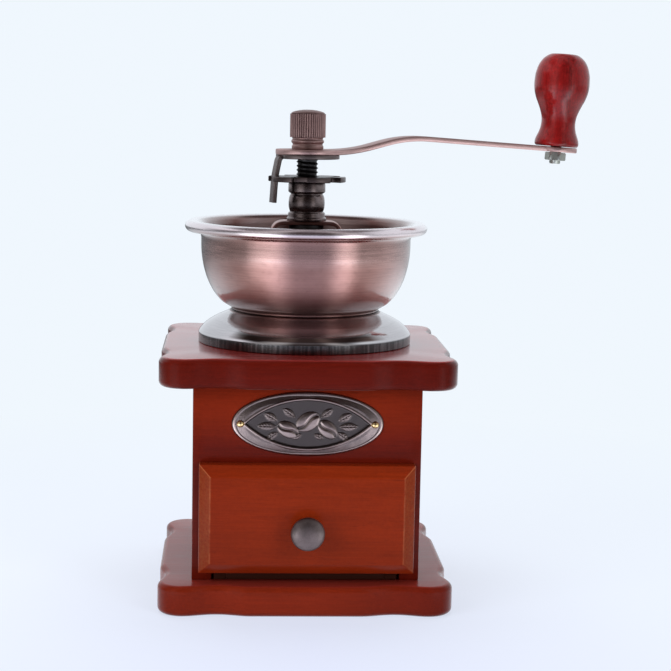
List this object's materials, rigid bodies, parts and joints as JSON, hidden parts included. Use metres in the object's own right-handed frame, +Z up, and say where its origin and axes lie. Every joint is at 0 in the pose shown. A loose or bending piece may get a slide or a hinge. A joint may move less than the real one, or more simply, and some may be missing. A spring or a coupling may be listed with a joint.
{
  "type": "manual box coffee grinder",
  "caption": "Wooden box coffee mill with an open spun hopper, a top crank with a turned grip, a grind-adjusting ring and a drawer with a knob.",
  "frame": {"origin": "middle of the base plate's underside", "axes": "+Z up along the spindle, -Y towards the drawer, +X to the right seen from the front"},
  "size_m": [0.1854, 0.1298, 0.2291],
  "materials": {
    "cherry_wood": "satin lacquer",
    "drawer_wood": "satin lacquer",
    "raw_wood": "plain, unlacquered",
    "grip_wood": "gloss lacquer",
    "antique_copper": "antique copper plate, brushed",
    "bronze": "dark antique bronze, satin",
    "dark_steel": "oiled black steel",
    "cast_iron": "machined",
    "zinc_steel": "zinc plate",
    "brass": "polished"
  },
  "bodies": {
    "housing": {"base_plate": "cherry_wood", "top_plate": "cherry_wood", "front_board": "cherry_wood", "back_board": "cherry_wood", "left_board": "cherry_wood", "right_board": "cherry_wood", "base_screw_1": "zinc_steel", "base_screw_2": "zinc_steel", "base_screw_3": "zinc_steel", "base_screw_4": "zinc_steel", "oval_plate": "bronze", "oval_plate_pin_left": "brass", "oval_plate_pin_right": "brass", "hopper_flange": "antique_copper", "hopper_bowl": "antique_copper", "hopper_screw_1": "zinc_steel", "hopper_screw_2": "zinc_steel", "hopper_screw_3": "zinc_steel", "hopper_screw_4": "zinc_steel", "bridge": "antique_copper", "bearing_sleeve": "bronze", "sleeve_collar": "dark_steel", "burr_housing": "cast_iron", "outer_burr": "cast_iron"},
    "adjuster": {"adjusting_ring": "bronze"},
    "crank": {"spindle": "dark_steel", "inner_burr": "cast_iron", "burr_washer": "zinc_steel", "burr_nut": "zinc_steel", "push_spring": "zinc_steel", "lock_plate": "antique_copper", "crank_arm": "antique_copper", "cap_nut": "antique_copper", "grip_bolt": "zinc_steel", "grip_nut": "zinc_steel"},
    "grip": {"grip": "grip_wood"},
    "drawer": {"drawer_front": "drawer_wood", "drawer_left": "raw_wood", "drawer_right": "raw_wood", "drawer_back": "raw_wood", "drawer_bottom": "raw_wood", "drawer_knob": "bronze", "drawer_knob_screw": "zinc_steel"}
  },
  "joints": [
    {"name": "crank_spin", "type": "hinge", "parent": "housing", "child": "adjuster", "pos_m": [0, 0, 0.1725], "axis": [0, 0, 1], "continuous": true},
    {"name": "grind_adjust", "type": "slide", "parent": "adjuster", "child": "crank", "axis": [0, 0, 1], "range_m": [-0.0015, 0.00075], "deforming": ["push_spring"]},
    {"name": "grip_spin", "type": "hinge", "parent": "crank", "child": "grip", "pos_m": [0.11151, 0.03197, 0.18818], "axis": [0.062, 0.0178, 0.9979], "continuous": true},
    {"name": "drawer_slide", "type": "slide", "parent": "housing", "child": "drawer", "axis": [0, -1, 0], "range_m": [0, 0.07]}
  ]
}
